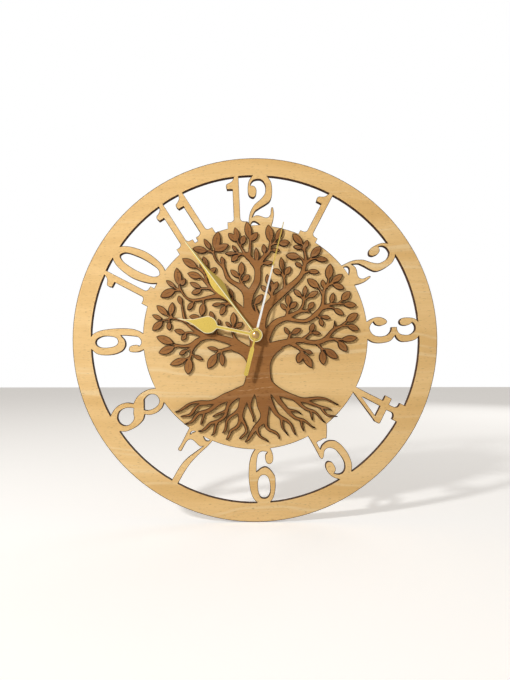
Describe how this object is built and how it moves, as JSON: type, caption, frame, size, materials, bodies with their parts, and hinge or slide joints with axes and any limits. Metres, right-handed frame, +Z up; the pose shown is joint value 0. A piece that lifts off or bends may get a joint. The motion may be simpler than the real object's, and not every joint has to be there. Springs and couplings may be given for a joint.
{
  "type": "plywood wall clock",
  "caption": "Round plywood wall clock with a cut-out figure ring, a tree cut in brown wood on its disc, gold hands and a quartz movement behind it.",
  "frame": {"origin": "on the hands' axis, in the plane of the wall that the clock hangs on", "axes": "+Z up, +Y into the wall, +X to the right as seen from the front"},
  "size_m": [0.3, 0.033, 0.3],
  "materials": {
    "pale_plywood": "sanded birch plywood, laser cut, edges browned",
    "brown_plywood": "stained plywood, laser cut, edges burnt dark",
    "gold_hands": "bright gold",
    "polished_brass": "polished",
    "bush_brass": "turned",
    "black_rubber": "matte",
    "case_plastic": "fine moulded texture",
    "bridge_plastic": "moulded",
    "train_plastic": "moulded",
    "bobbin_plastic": "moulded",
    "screw_steel": "turned",
    "motor_steel": "stamped",
    "can_steel": "drawn",
    "contact_steel": "plated",
    "copper_wire": "enamelled copper",
    "board": "varnished",
    "chip": "moulded",
    "cell_wrap": "printed film",
    "magnet": "sintered",
    "knob_plastic": "moulded"
  },
  "bodies": {
    "clock_body": {"dial_plate": "pale_plywood", "tree_overlay": "brown_plywood", "rubber_washer": "black_rubber", "brass_washer": "bush_brass", "round_nut": "bush_brass", "threaded_bush": "bush_brass", "movement_rear_case": "case_plastic", "movement_front_case": "case_plastic", "train_bridge": "bridge_plastic", "bridge_screws": "screw_steel", "stator_plate": "motor_steel", "coil_core": "motor_steel", "core_screws": "screw_steel", "coil_bobbin": "bobbin_plastic", "coil_winding": "copper_wire", "circuit_board": "board", "control_chip": "chip", "quartz_can": "can_steel", "battery_cell": "cell_wrap", "battery_contact_plus": "contact_steel", "battery_contact_minus": "contact_steel"},
    "second_arbor": {"second_wheel": "train_plastic", "second_hand": "gold_hands", "second_hand_cap": "polished_brass"},
    "minute_arbor": {"centre_wheel": "train_plastic", "minute_hand": "gold_hands"},
    "hour_arbor": {"hour_wheel": "train_plastic", "hour_hand": "gold_hands"},
    "third_arbor": {"third_wheel": "train_plastic"},
    "step_arbor": {"step_wheel": "train_plastic"},
    "rotor_arbor": {"rotor_pinion": "train_plastic", "rotor_magnet": "magnet"},
    "motion_arbor": {"motion_wheel": "train_plastic"},
    "knob_arbor": {"setting_knob": "knob_plastic"}
  },
  "joints": [
    {"name": "second_spin", "type": "hinge", "parent": "clock_body", "child": "second_arbor", "pos_m": [0, 0, 0], "axis": [0, 1, 0], "continuous": true},
    {"name": "minute_spin", "type": "hinge", "parent": "clock_body", "child": "minute_arbor", "pos_m": [0, 0, 0], "axis": [0, 1, 0], "continuous": true},
    {"name": "hour_spin", "type": "hinge", "parent": "clock_body", "child": "hour_arbor", "pos_m": [0, 0, 0], "axis": [0, 1, 0], "continuous": true},
    {"name": "third_spin", "type": "hinge", "parent": "clock_body", "child": "third_arbor", "pos_m": [0.00863, 0, 0.00314], "axis": [0, 1, 0], "continuous": true},
    {"name": "step_spin", "type": "hinge", "parent": "clock_body", "child": "step_arbor", "pos_m": [-0.00321, 0, 0.00881], "axis": [0, 1, 0], "continuous": true},
    {"name": "rotor_spin", "type": "hinge", "parent": "clock_body", "child": "rotor_arbor", "pos_m": [-0.00968, 0, 0.01255], "axis": [0, 1, 0], "continuous": true},
    {"name": "motion_spin", "type": "hinge", "parent": "clock_body", "child": "motion_arbor", "pos_m": [-0.00789, 0, -0.00287], "axis": [0, 1, 0], "continuous": true},
    {"name": "knob_spin", "type": "hinge", "parent": "clock_body", "child": "knob_arbor", "pos_m": [-0.01594, 0, -0.00287], "axis": [0, 1, 0], "continuous": true}
  ],
  "couplings": [
    {"joint": "third_spin", "follows": "second_spin", "ratio": -0.13333},
    {"joint": "minute_spin", "follows": "second_spin", "ratio": 0.016667},
    {"joint": "hour_spin", "follows": "second_spin", "ratio": 0.0013889},
    {"joint": "step_spin", "follows": "second_spin", "ratio": -4},
    {"joint": "rotor_spin", "follows": "second_spin", "ratio": 30},
    {"joint": "motion_spin", "follows": "second_spin", "ratio": -0.0055556},
    {"joint": "knob_spin", "follows": "second_spin", "ratio": 0.02}
  ]
}
